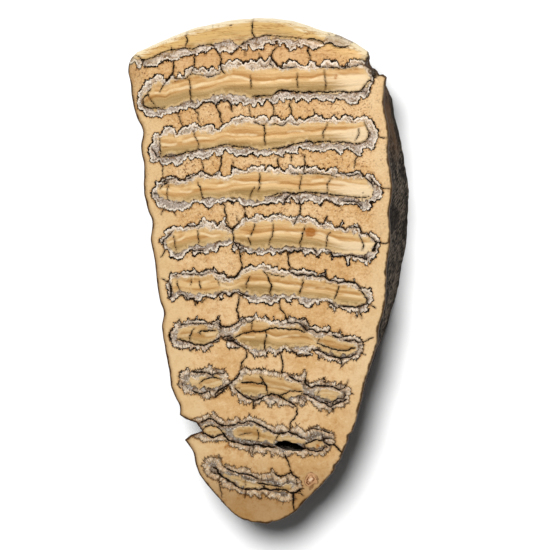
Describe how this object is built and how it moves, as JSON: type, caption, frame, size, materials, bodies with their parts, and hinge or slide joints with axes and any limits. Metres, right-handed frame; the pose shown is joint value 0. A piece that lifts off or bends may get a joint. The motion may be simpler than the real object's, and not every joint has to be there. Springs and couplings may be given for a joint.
{
  "type": "polished mammoth tooth section",
  "caption": "Polished slab of fossil mammoth molar, broad rolled end tapering to a narrow tip, wavy enamel plates on the face, dark natural flanks and a flat sawn back.",
  "frame": {"origin": "on the surface that the slab lies on, under the middle of its box", "axes": "+Z out of the polished face, +Y along the tooth from the narrow tip to the broad end"},
  "size_m": [0.0762, 0.1406, 0.026],
  "materials": {
    "polished_tooth": "ground and polished fossil tooth, satin gloss, tan cement with lavender-grey enamel bands"
  },
  "bodies": {
    "root": {"tooth_section": "polished_tooth"}
  },
  "joints": []
}
